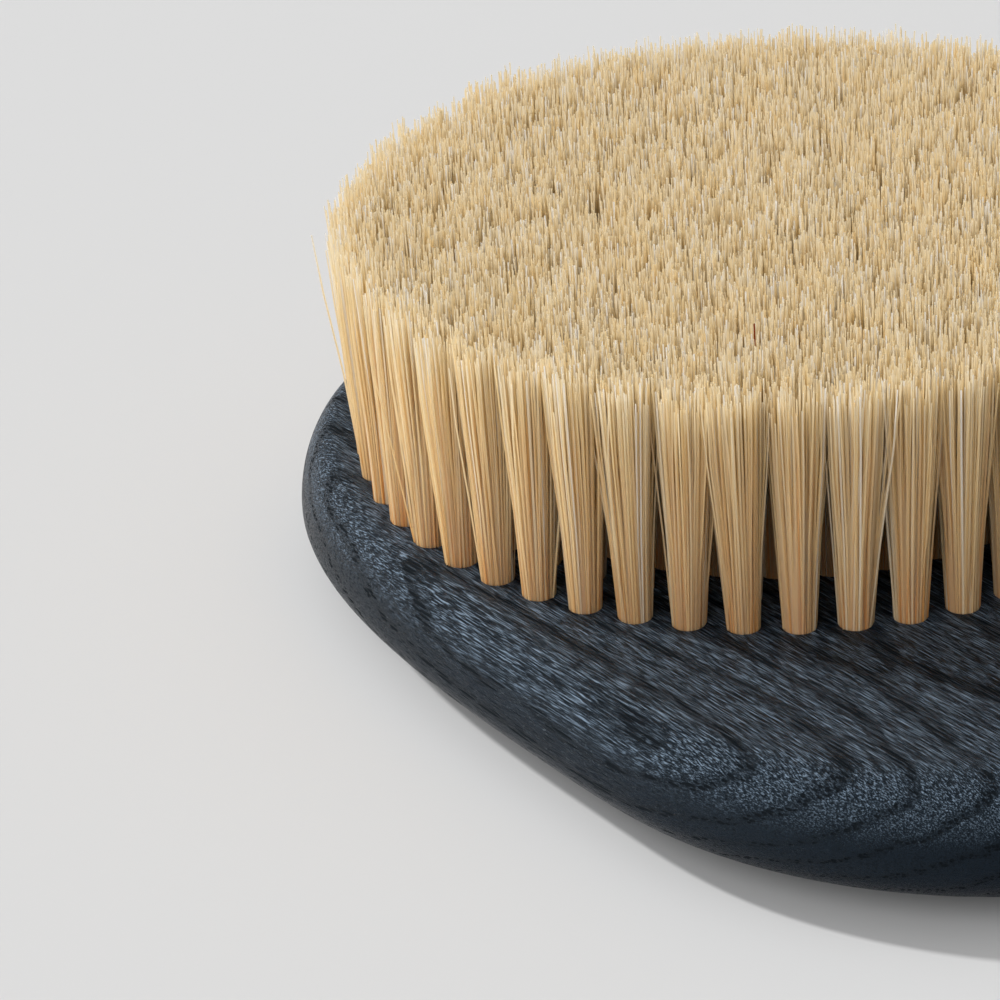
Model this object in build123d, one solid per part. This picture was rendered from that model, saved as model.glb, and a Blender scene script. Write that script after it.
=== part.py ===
"""Beard brush: an egg-shaped ash palm block with a round field of bristle tufts.

Each tuft is a bundle of bristle folded over a flat wire anchor, which is driven
across the bottom of a blind hole and bites into the wood on both sides.
Millimetres, +Z up with the bristles on top. +X runs along the grain towards the
long overhang. The origin is under the middle of the block, on its flat base.
"""

import os
from math import cos, pi, radians, sin

from build123d import *

# Block outline at its widest level. Reaches are measured along the grain from
# the centre of the bristle field.
BACK_REACH = 37.6
FRONT_REACH = 65.5
WIDEST_AT = 26.8
HALF_WIDTH = 41.8
BACK_SQUARENESS = 3.0
FRONT_SQUARENESS = 2.0
OUTLINE_POINTS = 36

# Block side: the outline draws in from the widest level to the flat top and to
# the flat base, each time along nearly a quarter of an ellipse, so that it
# runs almost smoothly into the flats.
BLOCK_HEIGHT = 11.5
WIDEST_LEVEL = 5.6
TOP_INSET = {"back": 1.2, "front": 7.1, "side": 4.1}
BASE_INSET = {"back": 6.2, "front": 9.1, "side": 13.4}
SIDE_STEPS = 8
SIDE_TURN = radians(88)

# Bristle field: a tuft at the centre and rings around it, one pitch apart.
FIELD_X = (BACK_REACH - FRONT_REACH) / 2
RING_PITCH = 4.34
RING_COUNTS = (1, 6, 12, 19, 25, 32, 38, 44, 51)
RING_START_DEG = (0.0, 0.0, 12.0, 3.0, 9.0, 1.5, 5.0, 2.5, 3.5)

# One tuft and its hole.
HOLE_RADIUS = 1.35
HOLE_DEPTH = 7.0
HOLE_POINT = 0.6
TUFT_CLEARANCE = 0.02
TUFT_TIP_RADIUS = 2.02
TUFT_TIP_ROUND = 0.35
BRISTLE_LENGTH = 20.0

# Flat wire anchor, on edge across the grain.
ANCHOR_LENGTH = 3.3
ANCHOR_THICKNESS = 0.35
ANCHOR_WIDTH = 1.6
ANCHOR_ABOVE_HOLE_FLOOR = 1.2


def outline_radius(angle, reach, half_width, squareness):
    """Distance from the widest point's centre to a superellipse, along angle."""
    along = abs(cos(angle)) / reach
    across = abs(sin(angle)) / half_width
    return (along**squareness + across**squareness) ** (-1 / squareness)


def block_section(level, inset, share):
    """Closed outline at one level, drawn in by a share of the inset."""
    back = BACK_REACH + WIDEST_AT - inset["back"] * share
    front = FRONT_REACH - WIDEST_AT - inset["front"] * share
    half_width = HALF_WIDTH - inset["side"] * share
    points = []
    for step in range(OUTLINE_POINTS):
        angle = 2 * pi * step / OUTLINE_POINTS
        if cos(angle) > 0:
            radius = outline_radius(angle, front, half_width, FRONT_SQUARENESS)
        else:
            radius = outline_radius(angle, back, half_width, BACK_SQUARENESS)
        x = FIELD_X + WIDEST_AT + radius * cos(angle)
        points.append((x, radius * sin(angle), level))
    return Wire([Spline(points, periodic=True)])


def block_blank():
    """The undrilled block, lofted through level outlines."""
    sections = []
    for step in range(-SIDE_STEPS, SIDE_STEPS + 1):
        turn = SIDE_TURN * step / SIDE_STEPS
        rise = BLOCK_HEIGHT - WIDEST_LEVEL if step > 0 else WIDEST_LEVEL
        inset = TOP_INSET if step > 0 else BASE_INSET
        level = WIDEST_LEVEL + rise * sin(turn) / sin(SIDE_TURN)
        share = (1 - cos(turn)) / (1 - cos(SIDE_TURN))
        sections.append(block_section(level, inset, share))
    return Solid.make_loft(sections)


def anchor():
    """Flat wire anchor under the hole's mouth at the origin."""
    low = ANCHOR_ABOVE_HOLE_FLOOR - HOLE_DEPTH
    lift = Pos(0, 0, low + ANCHOR_WIDTH / 2)
    return lift * Box(ANCHOR_THICKNESS, ANCHOR_LENGTH, ANCHOR_WIDTH)


def hole():
    """Blind hole with a drilled point, mouth at the origin, and the anchor's bites."""
    profile = Polyline(
        (0, 0, 0),
        (HOLE_RADIUS, 0, 0),
        (HOLE_RADIUS, 0, -HOLE_DEPTH),
        (0, 0, -HOLE_DEPTH - HOLE_POINT),
        close=True,
    )
    return revolve(make_face(profile), Axis.Z) + anchor()


def tuft():
    """Bundle of bristle in a hole at the origin, flaring to its trimmed tips."""
    root = HOLE_RADIUS - TUFT_CLEARANCE
    profile = Polyline(
        (0, 0, TUFT_CLEARANCE - HOLE_DEPTH - HOLE_POINT),
        (root, 0, TUFT_CLEARANCE - HOLE_DEPTH),
        (root, 0, 0),
        (TUFT_TIP_RADIUS, 0, BRISTLE_LENGTH - TUFT_TIP_ROUND),
        (TUFT_TIP_RADIUS - TUFT_TIP_ROUND, 0, BRISTLE_LENGTH),
        (0, 0, BRISTLE_LENGTH),
        close=True,
    )
    return revolve(make_face(profile), Axis.Z) - anchor()


def ring_places(ring):
    """Places of one ring's holes on top of the block."""
    places = []
    for place in range(RING_COUNTS[ring]):
        angle = radians(RING_START_DEG[ring] + 360 * place / RING_COUNTS[ring])
        x = FIELD_X + ring * RING_PITCH * cos(angle)
        y = ring * RING_PITCH * sin(angle)
        places.append(Pos(x, y, BLOCK_HEIGHT))
    return places


def build():
    """Every sub-part, by node name."""
    rings = [ring_places(ring) for ring in range(len(RING_COUNTS))]
    holes = [place * hole() for ring in rings for place in ring]
    nodes = {"palm_block": block_blank().cut(*holes)}
    one_tuft = tuft()
    one_anchor = anchor()
    for ring, places in enumerate(rings):
        nodes[f"bristle_ring_{ring}"] = Compound([place * one_tuft for place in places])
        nodes[f"anchor_ring_{ring}"] = Compound([place * one_anchor for place in places])
    return nodes


if __name__ == "__main__":
    os.makedirs("parts", exist_ok=True)
    for name, shape in build().items():
        export_step(shape, f"parts/{name}.step")
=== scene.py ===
"""Looks for the beard brush: stained ash block, bristle tufts, floor, light and camera."""

from math import cos, pi, radians, sin

import bpy
import numpy as np
from mathutils import Matrix, Vector


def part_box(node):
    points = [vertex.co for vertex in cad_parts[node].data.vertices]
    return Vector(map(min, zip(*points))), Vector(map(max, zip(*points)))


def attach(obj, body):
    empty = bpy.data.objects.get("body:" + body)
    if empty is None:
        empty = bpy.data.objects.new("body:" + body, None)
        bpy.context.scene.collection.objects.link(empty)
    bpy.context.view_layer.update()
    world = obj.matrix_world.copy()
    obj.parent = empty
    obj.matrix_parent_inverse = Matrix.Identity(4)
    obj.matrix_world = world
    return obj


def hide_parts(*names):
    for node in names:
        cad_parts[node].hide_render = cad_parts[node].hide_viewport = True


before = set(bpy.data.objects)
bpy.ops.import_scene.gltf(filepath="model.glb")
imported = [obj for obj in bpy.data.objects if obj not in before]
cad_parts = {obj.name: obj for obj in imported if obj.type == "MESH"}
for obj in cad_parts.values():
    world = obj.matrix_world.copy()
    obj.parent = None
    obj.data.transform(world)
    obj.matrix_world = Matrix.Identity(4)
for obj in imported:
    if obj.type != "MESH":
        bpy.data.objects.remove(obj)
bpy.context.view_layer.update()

MM = 0.001

# Bristle field, as the holes are drilled.
RING_PITCH = 4.34 * MM
RING_COUNTS = (1, 6, 12, 19, 25, 32, 38, 44, 51)
RING_START_DEG = (0.0, 0.0, 12.0, 3.0, 9.0, 1.5, 5.0, 2.5, 3.5)
OUTERMOST_RING = len(RING_COUNTS) - 1

# One tuft. The power sets how the bristles are packed from its middle to its rim.
BRISTLES_PER_TUFT = 190
ROOT_RADIUS = 1.25 * MM
TIP_RADIUS = 2.32 * MM
OUTER_TIP_RADIUS = 2.3 * MM
PACKING_POWER = 0.44
BRISTLE_RADIUS = 0.084 * MM
THICKNESS_RANGE = (0.72, 1.22)
ROOT_DEPTH = 1.2 * MM
SIDES = 3

# Levels along a bristle, from just inside its hole: its share of the height above the wood and of the
# tuft's flare, its thickness, and how far its tint is moved there: painted shade, darker and more orange, at
# the root, and painted light, paler, at the tip.
RISE = np.array([0.0, 0.36, 0.74, 1.0])
FLARE = np.array([0.0, 0.36, 0.80, 1.0])
TAPER = np.array([1.0, 1.0, 0.94, 0.76])
PAINTED_SHADE_AND_LIGHT = np.array([-0.24, -0.02, 0.05, 0.25])

# How unlike each other the bristles and tufts are, as standard deviations. The angle is in radians, and
# those of the root, tip and rib are shares of a radius.
SEED = 7
ANGLE_SPREAD = 0.05
ROOT_SPREAD = 0.015
TIP_SPREAD = 0.09
LEAN_SPREAD = 0.17 * MM
TUFT_LEAN_SPREAD = 0.13 * MM
BOW_SPREAD = 0.09 * MM
TUFT_TRIM_SPREAD = 0.15 * MM
TRIM_SPREAD = 0.75 * MM
TRIM_LIMITS = (-2.4 * MM, 1.0 * MM)
RIB_SPREAD = 0.035

# Strays lean and bow more than the rest.
STRAY_SHARE = 0.09
STRAY_LEAN = 3.0
STRAY_BOW = 2.0

# Places on the bristle's colour ramp, from 0 for the dark one to 1 for white.
MIDDLE_TINT = 0.46
TINT_SPREAD = 0.09
LOWEST_TINT = 0.06
WHITE_SHARE = 0.09
WHITE_LIFT = 0.4
DARK_TINT = 0.0
# The inner cores' tints are painted glow: a deeper orange than any bristle, standing in for warm light deep
# between the tufts. The outer ring's cores keep near the bristles' own tints.
PAINTED_GLOW_CORE_TINTS = (0.05, 0.25)
OUTER_CORE_TINTS = (0.30, 0.60)

# The one dark reddish bristle: its ring, its number there, and how far it stands above the CAD tufts.
DARK_RING = 6
DARK_BRISTLE = 33 * BRISTLES_PER_TUFT + 101
DARK_RISE = 1.9 * MM

# The middle of a tuft, as one ribbed bundle that ends well under the tips: shares of the height
# above the wood and of the tuft's flare, and of the tuft's radius at each level.
CORE_RISE = np.array([0.0, 0.22, 0.42, 0.60, 0.68])
CORE_FLARE = np.array([0.0, 0.22, 0.43, 0.63, 0.72])
CORE_SHARE = np.array([0.92, 0.88, 0.80, 0.60, 0.08])
CORE_SIDES = 16

# Growth rings of the ash, in millimetres, as shells about an axis far below the block, nearly along
# the grain. They wander by some turns.
RING_AXIS_Y = 8.0
RING_AXIS_Z = -70.0
RING_AXIS_TILT = (0.035, 0.02)
GROWTH_RING = 1.7
WANDER_TURNS = 3.0

# Marks in the wood, as how many come to a millimetre along X, Y and Z.
WANDER_SCALE = (0.03, 0.09, 0.09)
VESSEL_SCALE = (0.23, 3.5, 3.5)
PORE_SCALE = (0.33, 5.2, 5.2)
STREAK_SCALE = (0.26, 10.0, 10.0)
FIBRE_SCALE = (0.6, 14.0, 14.0)
CLOUD_SCALE = (0.05, 0.2, 0.2)

# Stain, and the levels in millimetres between which more and more pale fibre shows through it: the
# grain's own pale fibres, with painted sheen that makes the top lighter than the sides. A small pore is a
# hollow of some weight beside an open vessel.
STAIN = (0.001, 0.003, 0.007, 1)
PALER_STAIN = (0.003, 0.007, 0.014, 1)
PORE_STAIN = (0.001, 0.002, 0.004, 1)
PALE_FIBRE_AND_SHEEN = (0.23, 0.31, 0.405, 1)
PAINTED_SHEEN_FROM = 7.0
PAINTED_SHEEN_TO = 10.6
PORE_WEIGHT = 0.6

# Surface of the wood: roughness, and heights and depths in millimetres.
WOOD_ROUGHNESS = 0.17
FIBRE_ROUGHNESS = 0.12
CLOUD_ROUGHNESS = 0.10
HOLLOW_ROUGHNESS = 0.5
STREAK_HEIGHT = 0.12
FIBRE_HEIGHT = 0.075
VESSEL_DEPTH = 0.20
PORE_DEPTH = 0.11

# Marks on the anchor wire, per metre along X, Y and Z. The wire lies along Y.
WIRE_MARK_SCALE = (30000, 1500, 30000)

# How a bristle takes light: the share that comes through it, and its roughness.
TRANSLUCENT_SHARE = 0.78
BRISTLE_ROUGHNESS = 0.28

# Suns, as azimuth, elevation, strength and angular size: a soft key from the back left, and broad
# panels above it and in front. An even dim studio is around them.
SUNS = {
    "key": (206.5, 39.2, 2.05, 4),
    "top_panel": (231.5, 62, 0.38, 75),
    "front_panel": (286.5, 20, 2.0, 80),
}
STUDIO_STRENGTH = 0.29
FLOOR_GREY = 0.69
FLOOR_REACH = 3.0

# Camera, placed about the middle of the bristle field's base.
CAMERA_AZIMUTH = -40.0
CAMERA_ELEVATION = 27.04
CAMERA_DISTANCE = 0.3367
AIM_LEFT = 4.66
AIM_DOWN = 28.02
CAMERA_ROLL = 3.52
LENS = 144
CLIP_START = 0.01

_, block_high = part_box("palm_block")
centre_low, centre_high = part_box("bristle_ring_0")
WOOD_TOP = block_high[2]
TIPS_TOP = centre_high[2]
FIELD = Vector(((centre_low[0] + centre_high[0]) / 2, (centre_low[1] + centre_high[1]) / 2, WOOD_TOP))


def direction(azimuth, elevation):
    a, e = radians(azimuth), radians(elevation)
    return Vector((cos(a) * cos(e), sin(a) * cos(e), sin(e)))


class Tree:
    """Short calls for building a material's node tree."""

    def __init__(self, name):
        self.material = bpy.data.materials.new(name)
        self.material.use_nodes = True
        self.nodes = self.material.node_tree.nodes
        self.links = self.material.node_tree.links
        self.shader = self.nodes["Principled BSDF"]
        self.output = self.nodes["Material Output"]

    def put(self, socket, value):
        if isinstance(value, bpy.types.NodeSocket):
            self.links.new(value, socket)
        else:
            socket.default_value = value

    def maths(self, operation, *values):
        node = self.nodes.new("ShaderNodeMath")
        node.operation = operation
        for socket, value in zip(node.inputs, values):
            self.put(socket, value)
        return node.outputs[0]

    def weighted(self, operation, base, value, weight):
        """base, with weight times value added or subtracted."""
        return self.maths(operation, base, self.maths("MULTIPLY", value, weight))

    def between(self, value, low, high, to_low=0.0, to_high=1.0):
        """value from low to high as to_low to to_high, eased and held at the ends."""
        node = self.nodes.new("ShaderNodeMapRange")
        node.interpolation_type = "SMOOTHSTEP"
        for socket, number in zip(node.inputs, (value, low, high, to_low, to_high)):
            self.put(socket, number)
        return node.outputs[0]

    def stretched(self, vector, scale):
        node = self.nodes.new("ShaderNodeVectorMath")
        node.operation = "MULTIPLY"
        self.put(node.inputs[0], vector)
        node.inputs[1].default_value = scale
        return node.outputs[0]

    def noise(self, vector, detail=2.0, rough=0.5):
        node = self.nodes.new("ShaderNodeTexNoise")
        self.put(node.inputs["Vector"], vector)
        node.inputs["Scale"].default_value = 1.0
        node.inputs["Detail"].default_value = detail
        node.inputs["Roughness"].default_value = rough
        return node.outputs[0]

    def cells(self, vector):
        """Distance to the nearest of scattered points."""
        node = self.nodes.new("ShaderNodeTexVoronoi")
        self.put(node.inputs["Vector"], vector)
        node.inputs["Scale"].default_value = 1.0
        return node.outputs["Distance"]

    def ramp(self, value, *stops):
        node = self.nodes.new("ShaderNodeValToRGB")
        elements = node.color_ramp.elements
        while len(elements) < len(stops):
            elements.new(0.5)
        for element, (place, colour) in zip(elements, stops):
            element.position = place
            element.color = (*colour, 1)
        self.put(node.inputs[0], value)
        return node.outputs[0]

    def mix(self, share, first, second):
        node = self.nodes.new("ShaderNodeMix")
        node.data_type = "RGBA"
        self.put(node.inputs[0], share)
        self.put(node.inputs[6], first)
        self.put(node.inputs[7], second)
        return node.outputs[2]

    def bump(self, height_mm):
        node = self.nodes.new("ShaderNodeBump")
        node.inputs["Strength"].default_value = 1.0
        node.inputs["Distance"].default_value = MM
        self.put(node.inputs["Height"], height_mm)
        self.links.new(node.outputs[0], self.shader.inputs["Normal"])


def bristle_material():
    """Glossy natural fibre that lets light through, coloured by each bristle's tint."""
    tree = Tree("bristle")
    tint = tree.nodes.new("ShaderNodeAttribute")
    tint.attribute_name = "tint"
    colour = tree.ramp(
        tint.outputs["Fac"],
        (0.0, (0.42, 0.085, 0.015)),
        (0.05, (0.96, 0.62, 0.24)),
        (0.25, (0.93, 0.775, 0.53)),
        (0.55, (0.98, 0.885, 0.68)),
        (0.8, (0.985, 0.935, 0.82)),
        (1.0, (0.99, 0.985, 0.97)),
    )
    tree.put(tree.shader.inputs["Base Color"], colour)
    tree.shader.inputs["Roughness"].default_value = BRISTLE_ROUGHNESS
    tree.shader.inputs["Specular IOR Level"].default_value = 1.0
    glow = tree.nodes.new("ShaderNodeBsdfTranslucent")
    tree.put(glow.inputs["Color"], colour)
    both = tree.nodes.new("ShaderNodeMixShader")
    both.inputs[0].default_value = TRANSLUCENT_SHARE
    tree.links.new(tree.shader.outputs[0], both.inputs[1])
    tree.links.new(glow.outputs[0], both.inputs[2])
    tree.links.new(both.outputs[0], tree.output.inputs["Surface"])
    return tree.material


def early_wood(tree, place, x, y, z):
    """Share of open-pored early wood, which fills the first part of each growth ring."""
    wander = tree.noise(tree.stretched(place, WANDER_SCALE), 2.0)
    tilt_y, tilt_z = RING_AXIS_TILT
    across = tree.weighted("ADD", tree.maths("SUBTRACT", y, RING_AXIS_Y), x, tilt_y)
    up = tree.weighted("ADD", tree.maths("SUBTRACT", z, RING_AXIS_Z), x, tilt_z)
    squares = tree.maths("ADD", tree.maths("POWER", across, 2.0), tree.maths("POWER", up, 2.0))
    rings = tree.maths("DIVIDE", tree.maths("SQRT", squares), GROWTH_RING)
    phase = tree.maths("FRACT", tree.weighted("ADD", rings, wander, WANDER_TURNS))
    begins = tree.between(phase, 0.0, 0.10)
    ends = tree.between(phase, 0.18, 0.45, 1.0, 0.0)
    return tree.maths("MULTIPLY", begins, ends)


def wood_material():
    """Ring-porous ash, stained blue-black: early wood full of open vessels, smooth late wood."""
    tree = Tree("stained_ash")
    coordinates = tree.nodes.new("ShaderNodeTexCoord").outputs["Object"]
    place = tree.stretched(coordinates, (1000, 1000, 1000))
    axes = tree.nodes.new("ShaderNodeSeparateXYZ")
    tree.links.new(place, axes.inputs[0])
    x, y, z = axes.outputs
    early = early_wood(tree, place, x, y, z)

    vessels = tree.cells(tree.stretched(place, VESSEL_SCALE))
    vessel_edge = tree.between(early, 0.0, 1.0, 0.05, 0.44)
    open_vessel = tree.between(tree.maths("DIVIDE", vessels, vessel_edge), 0.7, 1.0, 1.0, 0.0)
    pores = tree.cells(tree.stretched(place, PORE_SCALE))
    open_pore = tree.between(pores, 0.22, 0.30, 1.0, 0.0)
    hollow = tree.maths("MAXIMUM", open_vessel, tree.maths("MULTIPLY", open_pore, PORE_WEIGHT))
    streak = tree.noise(tree.stretched(place, STREAK_SCALE), 3.0, 0.6)
    fibre = tree.noise(tree.stretched(place, FIBRE_SCALE), 2.0, 0.6)
    cloud = tree.noise(tree.stretched(place, CLOUD_SCALE), 2.0)

    late = tree.mix(tree.between(streak, 0.35, 0.65), STAIN, PALER_STAIN)
    body = tree.mix(early, late, STAIN)
    # Pale fibres in the streaks are the grain's own; they show more, and paler, higher up the block as
    # painted sheen, so the top and shoulder read lit and the sides dark. Early wood takes less of it.
    pale = tree.maths("MULTIPLY", tree.between(streak, 0.43, 0.60), tree.between(fibre, 0.45, 0.60))
    sheen_by_level = tree.between(z, PAINTED_SHEEN_FROM, PAINTED_SHEEN_TO, 0.0, 0.95)
    painted_sheen = tree.maths("MULTIPLY", sheen_by_level, tree.between(early, 0.0, 1.0, 1.0, 0.35))
    grain_and_sheen = tree.mix(tree.maths("MULTIPLY", pale, painted_sheen), body, PALE_FIBRE_AND_SHEEN)
    tree.put(tree.shader.inputs["Base Color"], tree.mix(hollow, grain_and_sheen, PORE_STAIN))
    tree.shader.inputs["Specular IOR Level"].default_value = 0.2
    tree.shader.inputs["Specular Tint"].default_value = (0.66, 0.86, 1.0, 1)

    rough = tree.weighted("ADD", WOOD_ROUGHNESS, fibre, FIBRE_ROUGHNESS)
    rough = tree.weighted("ADD", rough, cloud, CLOUD_ROUGHNESS)
    tree.put(tree.shader.inputs["Roughness"], tree.weighted("ADD", rough, hollow, HOLLOW_ROUGHNESS))

    relief = tree.maths("MULTIPLY", streak, STREAK_HEIGHT)
    relief = tree.weighted("ADD", relief, fibre, FIBRE_HEIGHT)
    relief = tree.weighted("SUBTRACT", relief, open_vessel, VESSEL_DEPTH)
    tree.bump(tree.weighted("SUBTRACT", relief, open_pore, PORE_DEPTH))
    return tree.material


def wire_material():
    """Drawn flat wire: bright metal with fine marks along its length."""
    tree = Tree("anchor_wire")
    place = tree.nodes.new("ShaderNodeTexCoord").outputs["Object"]
    marks = tree.noise(tree.stretched(place, WIRE_MARK_SCALE), 2.0)
    colour = tree.mix(marks, (0.50, 0.50, 0.48, 1), (0.70, 0.70, 0.68, 1))
    tree.put(tree.shader.inputs["Base Color"], colour)
    tree.put(tree.shader.inputs["Roughness"], tree.between(marks, 0.2, 0.8, 0.25, 0.42))
    tree.shader.inputs["Metallic"].default_value = 1.0
    return tree.material


def floor_material():
    tree = Tree("floor")
    tree.shader.inputs["Base Color"].default_value = (FLOOR_GREY, FLOOR_GREY, FLOOR_GREY, 1)
    tree.shader.inputs["Roughness"].default_value = 0.9
    tree.shader.inputs["Specular IOR Level"].default_value = 0.1
    return tree.material


def ring_centres(ring):
    turn = 2 * pi / RING_COUNTS[ring]
    start = radians(RING_START_DEG[ring])
    reach = ring * RING_PITCH
    return [
        (FIELD.x + reach * cos(start + turn * n), FIELD.y + reach * sin(start + turn * n))
        for n in range(RING_COUNTS[ring])
    ]


def bristle_lines(centres, tip_radius, rng):
    """Points along every bristle of a ring, as (bristle, level, xyz), and its thickness."""
    tufts = len(centres)
    count = BRISTLES_PER_TUFT
    order = np.arange(count)
    spread = ((order + 0.5) / count) ** PACKING_POWER
    golden = pi * (3 - 5**0.5)
    angle = order * golden + rng.uniform(0, 2 * pi, (tufts, 1)) + rng.normal(0, ANGLE_SPREAD, (tufts, count))
    root_r = ROOT_RADIUS * spread * (1 + rng.normal(0, ROOT_SPREAD, (tufts, count)))
    tip_r = tip_radius * spread * (1 + rng.normal(0, TIP_SPREAD, (tufts, count)))
    lean = rng.normal(0, LEAN_SPREAD, (tufts, count, 2)) + rng.normal(0, TUFT_LEAN_SPREAD, (tufts, 1, 2))
    bow = rng.normal(0, BOW_SPREAD, (tufts, count, 2))
    tuft_trim = rng.normal(0, TUFT_TRIM_SPREAD, (tufts, 1))
    trim = rng.normal(0, TRIM_SPREAD, (tufts, count)).clip(*TRIM_LIMITS)
    height = TIPS_TOP - WOOD_TOP + tuft_trim + trim
    stray = rng.random((tufts, count)) < STRAY_SHARE
    lean[stray] *= STRAY_LEAN
    bow[stray] *= STRAY_BOW
    way = np.stack([np.cos(angle), np.sin(angle)], -1)
    centre = np.array(centres)[:, None, :]
    root = centre + way * root_r[..., None]
    tip = centre + way * tip_r[..., None] + lean
    points = np.zeros((tufts, count, len(RISE), 3))
    for level, (rise, flare) in enumerate(zip(RISE, FLARE)):
        points[:, :, level, :2] = root + (tip - root) * flare + bow * (4 * rise * (1 - rise))
        points[:, :, level, 2] = WOOD_TOP + height * rise
    points[:, :, 0, 2] -= ROOT_DEPTH
    thick = BRISTLE_RADIUS * rng.uniform(*THICKNESS_RANGE, (tufts, count))
    return points.reshape(tufts * count, len(RISE), 3), thick.reshape(-1)


def bristle_verts(lines, thick, rng):
    """Corners of every bristle, as (bristle, level, side, xyz)."""
    turn = rng.uniform(0, 2 * pi, len(lines))[:, None] + np.arange(SIDES) * 2 * pi / SIDES
    circle = np.stack([np.cos(turn), np.sin(turn), np.zeros_like(turn)], -1)
    size = thick[:, None, None, None] * TAPER[None, :, None, None]
    return lines[:, :, None, :] + circle[:, None, :, :] * size


def core_verts(centres, tip_radius, rng):
    """Corners of every tuft's core, as (core, level, side, xyz)."""
    ribs = 1 + rng.normal(0, RIB_SPREAD, (len(centres), CORE_SIDES))
    angle = np.arange(CORE_SIDES) * 2 * pi / CORE_SIDES
    radius = (ROOT_RADIUS + (tip_radius - ROOT_RADIUS) * CORE_FLARE) * CORE_SHARE
    reach = radius[None, :, None] * ribs[:, None, :]
    verts = np.zeros((len(centres), len(CORE_RISE), CORE_SIDES, 3))
    middle = np.array(centres)
    verts[..., 0] = middle[:, None, None, 0] + reach * np.cos(angle)
    verts[..., 1] = middle[:, None, None, 1] + reach * np.sin(angle)
    verts[..., 2] = WOOD_TOP + ((TIPS_TOP - WOOD_TOP) * CORE_RISE)[None, :, None]
    verts[:, 0, :, 2] -= ROOT_DEPTH
    return verts


def tube_faces(tubes, levels, sides, start):
    """Sides of every tube as quads, and the caps of their upper ends, with corners counted from start."""
    corner = np.arange(sides)
    after = (corner + 1) % sides
    around = [
        np.stack([below + corner, below + after, below + sides + after, below + sides + corner], -1)
        for below in range(0, (levels - 1) * sides, sides)
    ]
    first = start + (np.arange(tubes) * levels * sides)[:, None, None]
    quads = (np.concatenate(around)[None] + first).reshape(-1, 4)
    caps = ((levels - 1) * sides + corner)[None] + first[:, :, 0]
    return quads, caps


def flat_mesh(name, verts, groups):
    """A flat-shaded mesh of groups of faces, where the faces of a group have as many corners each."""
    corners = np.concatenate([group.reshape(-1) for group in groups])
    counts = np.concatenate([np.full(len(group), group.shape[1]) for group in groups])
    mesh = bpy.data.meshes.new(name)
    mesh.vertices.add(len(verts))
    mesh.vertices.foreach_set("co", verts.reshape(-1).astype(np.float32))
    mesh.loops.add(len(corners))
    mesh.loops.foreach_set("vertex_index", corners.astype(np.int32))
    mesh.polygons.add(len(counts))
    mesh.polygons.foreach_set("loop_start", (np.cumsum(counts) - counts).astype(np.int32))
    mesh.update(calc_edges=True)
    mesh.validate()
    mesh.polygons.foreach_set("use_smooth", np.zeros(len(mesh.polygons), bool))
    return mesh


def bristle_tints(count, rng):
    """Tint of every bristle at every level: its own, lifted for the white ones, with painted shade towards
    the root and painted light towards the tip.
    """
    white = np.where(rng.random(count) < WHITE_SHARE, WHITE_LIFT, 0.0)[:, None]
    own = rng.normal(MIDDLE_TINT, TINT_SPREAD, count)[:, None]
    return (own + white + PAINTED_SHADE_AND_LIGHT).clip(LOWEST_TINT, 1)


def add_tufts(ring, material, rng):
    """All tufts of one ring as one piece, in place of the ring's CAD node."""
    centres = ring_centres(ring)
    outermost = ring == OUTERMOST_RING
    tip_radius = OUTER_TIP_RADIUS if outermost else TIP_RADIUS
    lines, thick = bristle_lines(centres, tip_radius, rng)
    if ring == DARK_RING:
        lines[DARK_BRISTLE, -1, 2] = TIPS_TOP + DARK_RISE
    bristles = bristle_verts(lines, thick, rng)
    cores = core_verts(centres, tip_radius, rng)
    verts = np.concatenate([bristles.reshape(-1, 3), cores.reshape(-1, 3)])
    bristle_faces = tube_faces(*bristles.shape[:3], 0)
    core_faces = tube_faces(*cores.shape[:3], bristles.size // 3)
    mesh = flat_mesh(f"bristles_{ring}", verts, [*bristle_faces, *core_faces])

    pale = bristle_tints(len(lines), rng)
    if ring == DARK_RING:
        pale[DARK_BRISTLE] = DARK_TINT
    # Inner cores take painted glow tints, the outer ring's cores tints near the bristles' own.
    core_range = OUTER_CORE_TINTS if outermost else PAINTED_GLOW_CORE_TINTS
    ribs = rng.uniform(*core_range, (len(centres), 1, CORE_SIDES))
    core_pale = np.broadcast_to(ribs, cores.shape[:3])
    tints = np.concatenate([np.repeat(pale, SIDES, 1).reshape(-1), core_pale.reshape(-1)])
    tint = mesh.attributes.new("tint", "FLOAT", "POINT")
    tint.data.foreach_set("value", tints.astype(np.float32))
    mesh.materials.append(material)

    piece = bpy.data.objects.new(f"bristle_tufts_{ring}", mesh)
    bpy.context.scene.collection.objects.link(piece)
    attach(piece, "root")
    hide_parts(f"bristle_ring_{ring}")


def add_bristles():
    material = bristle_material()
    rng = np.random.default_rng(SEED)
    for ring in range(len(RING_COUNTS)):
        add_tufts(ring, material, rng)


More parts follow.
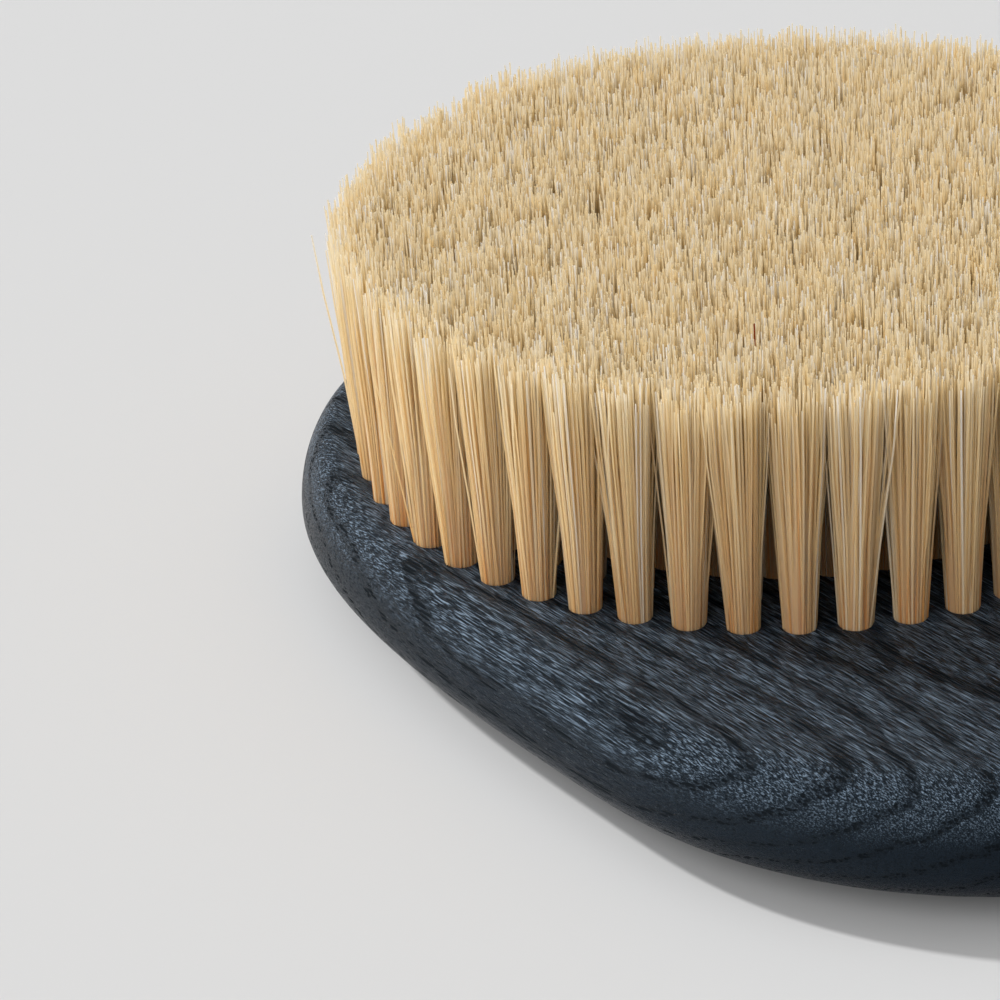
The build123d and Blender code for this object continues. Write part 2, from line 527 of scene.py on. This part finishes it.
def paint(names, material):
    """Gives carried-over CAD nodes their material."""
    for name in names:
        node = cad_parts[name]
        node.data.materials.clear()
        node.data.materials.append(material)


def add_floor():
    reach = FLOOR_REACH
    corners = [(-reach, -reach, 0), (reach, -reach, 0), (reach, reach, 0), (-reach, reach, 0)]
    mesh = bpy.data.meshes.new("floor")
    mesh.from_pydata(corners, [], [(0, 1, 2, 3)])
    mesh.materials.append(floor_material())
    floor = bpy.data.objects.new("floor", mesh)
    bpy.context.scene.collection.objects.link(floor)


def add_sun(name, azimuth, elevation, strength, size):
    sun = bpy.data.lights.new(name, "SUN")
    sun.energy = strength
    sun.angle = radians(size)
    lamp = bpy.data.objects.new(name, sun)
    lamp.rotation_euler = direction(azimuth, elevation).to_track_quat("Z", "Y").to_euler()
    bpy.context.scene.collection.objects.link(lamp)


def add_light():
    for name, values in SUNS.items():
        add_sun(name, *values)
    world = bpy.data.worlds.new("studio")
    world.use_nodes = True
    world.node_tree.nodes["Background"].inputs["Color"].default_value = (1, 1, 1, 1)
    world.node_tree.nodes["Background"].inputs["Strength"].default_value = STUDIO_STRENGTH
    bpy.context.scene.world = world


def add_camera():
    place = FIELD + direction(CAMERA_AZIMUTH, CAMERA_ELEVATION) * CAMERA_DISTANCE
    ahead = direction(CAMERA_AZIMUTH + 180 + AIM_LEFT, -AIM_DOWN)
    right = ahead.cross(Vector((0, 0, 1))).normalized()
    up = right.cross(ahead)
    roll = radians(CAMERA_ROLL)
    side = right * cos(roll) - up * sin(roll)
    head = up * cos(roll) + right * sin(roll)
    data = bpy.data.cameras.new("camera")
    data.lens = LENS
    data.clip_start = CLIP_START
    camera = bpy.data.objects.new("camera", data)
    turn = Matrix((side, head, -ahead)).transposed().to_4x4()
    camera.matrix_world = Matrix.Translation(place) @ turn
    bpy.context.scene.collection.objects.link(camera)
    bpy.context.scene.camera = camera


add_bristles()
paint(["palm_block"], wood_material())
paint([f"anchor_ring_{ring}" for ring in range(len(RING_COUNTS))], wire_material())
add_floor()
add_light()
add_camera()
bpy.context.scene.view_settings.view_transform = "Standard"
